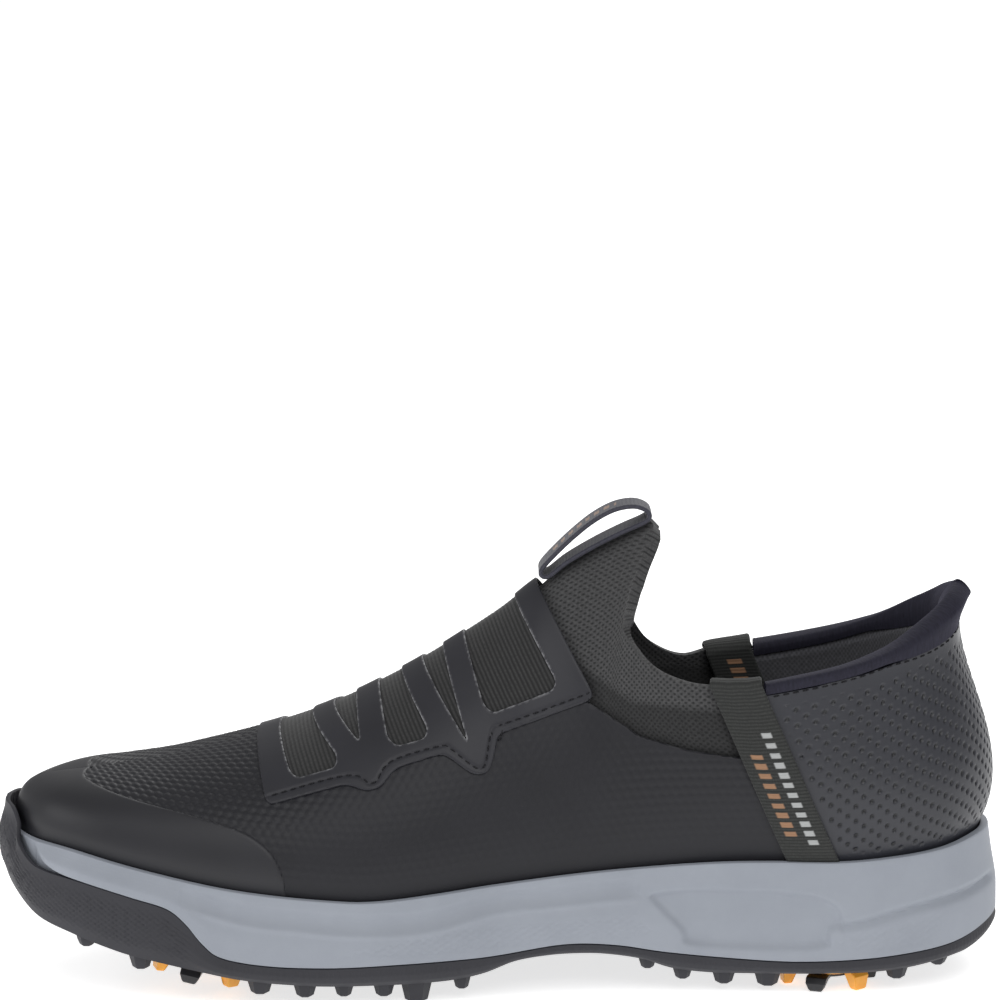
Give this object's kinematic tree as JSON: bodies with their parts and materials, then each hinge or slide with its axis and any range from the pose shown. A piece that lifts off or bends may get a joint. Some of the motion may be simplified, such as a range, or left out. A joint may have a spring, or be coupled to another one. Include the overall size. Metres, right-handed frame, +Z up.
{
  "type": "golf shoe",
  "caption": "Slip-on golf shoe for the right foot with a knit bootie, windowed saddle overlay, heel pull strap and screw-in cleats.",
  "frame": {"origin": "centre of the footprint's bounding box, on the ground under the studs", "axes": "+X from toe to heel along the shoe's length, +Y to the lateral side, +Z up"},
  "size_m": [0.3, 0.1053, 0.1423],
  "materials": {
    "smooth_overlay": "smooth fused synthetic, satin",
    "embossed_synthetic": "synthetic embossed with a fine honeycomb",
    "punched_synthetic": "synthetic with rows of small dimples",
    "webbing": "woven tape with plain woven bars",
    "rib_elastic": "ribbed elastic",
    "knit": "flat knit",
    "stiffener": "thermoplastic sheet",
    "foam": "open-cell foam",
    "lining": "mesh lining",
    "navy_textile": "navy woven binding",
    "rubber": "moulded rubber, matt",
    "eva_foam": "moulded EVA foam, matt",
    "strobel_board": "non-woven board",
    "black_nylon": "moulded nylon",
    "orange_tpu": "moulded TPU, semi-gloss"
  },
  "bodies": {
    "shoe": {"outsole": "rubber", "midsole": "eva_foam", "strobel_board": "strobel_board", "insole_foam": "foam", "insole_cover": "lining", "receptacle_front_medial": "black_nylon", "receptacle_front_lateral": "black_nylon", "receptacle_ball_centre": "black_nylon", "receptacle_ball_lateral": "black_nylon", "receptacle_heel_medial": "black_nylon", "receptacle_heel_lateral": "black_nylon", "toe_overlay": "smooth_overlay", "saddle_overlay": "smooth_overlay", "strap_medial": "webbing", "strap_lateral": "webbing", "vamp": "embossed_synthetic", "elastic_gore": "rib_elastic", "heel_quarter": "punched_synthetic", "knit_bootie": "knit", "toe_puff": "stiffener", "heel_counter": "stiffener", "collar_pad_medial": "foam", "collar_pad_lateral": "foam", "heel_pillow": "foam", "vamp_lining": "lining", "heel_lining": "lining", "collar_binding": "navy_textile", "pull_loop": "navy_textile"},
    "cleat_front_medial": {"cleat_base_front_medial": "black_nylon", "cleat_claw_front_medial": "orange_tpu"},
    "cleat_front_lateral": {"cleat_base_front_lateral": "black_nylon", "cleat_claw_front_lateral": "orange_tpu"},
    "cleat_ball_centre": {"cleat_base_ball_centre": "black_nylon", "cleat_claw_ball_centre": "orange_tpu"},
    "cleat_ball_lateral": {"cleat_base_ball_lateral": "black_nylon", "cleat_claw_ball_lateral": "orange_tpu"},
    "cleat_heel_medial": {"cleat_base_heel_medial": "black_nylon", "cleat_claw_heel_medial": "orange_tpu"},
    "cleat_heel_lateral": {"cleat_base_heel_lateral": "black_nylon", "cleat_claw_heel_lateral": "orange_tpu"}
  },
  "joints": [
    {"name": "cleat_front_medial_twist", "type": "hinge", "parent": "shoe", "child": "cleat_front_medial", "pos_m": [-0.088, -0.029, 0.01102], "axis": [0.1873, 0, 0.9823], "range_deg": [0, 60]},
    {"name": "cleat_front_lateral_twist", "type": "hinge", "parent": "shoe", "child": "cleat_front_lateral", "pos_m": [-0.09, 0.024, 0.0114], "axis": [0.1885, 0, 0.9821], "range_deg": [0, 60]},
    {"name": "cleat_ball_centre_twist", "type": "hinge", "parent": "shoe", "child": "cleat_ball_centre", "pos_m": [-0.038, -0.003, 0.00661], "axis": [0.0055, 0, 1], "range_deg": [0, 60]},
    {"name": "cleat_ball_lateral_twist", "type": "hinge", "parent": "shoe", "child": "cleat_ball_lateral", "pos_m": [-0.042, 0.034, 0.00662], "axis": [0.0105, 0, 0.9999], "range_deg": [0, 60]},
    {"name": "cleat_heel_medial_twist", "type": "hinge", "parent": "shoe", "child": "cleat_heel_medial", "pos_m": [0.098, -0.0205, 0.0063], "axis": [-0.0083, 0, 1], "range_deg": [0, 60]},
    {"name": "cleat_heel_lateral_twist", "type": "hinge", "parent": "shoe", "child": "cleat_heel_lateral", "pos_m": [0.098, 0.022, 0.0063], "axis": [-0.0083, 0, 1], "range_deg": [0, 60]}
  ]
}
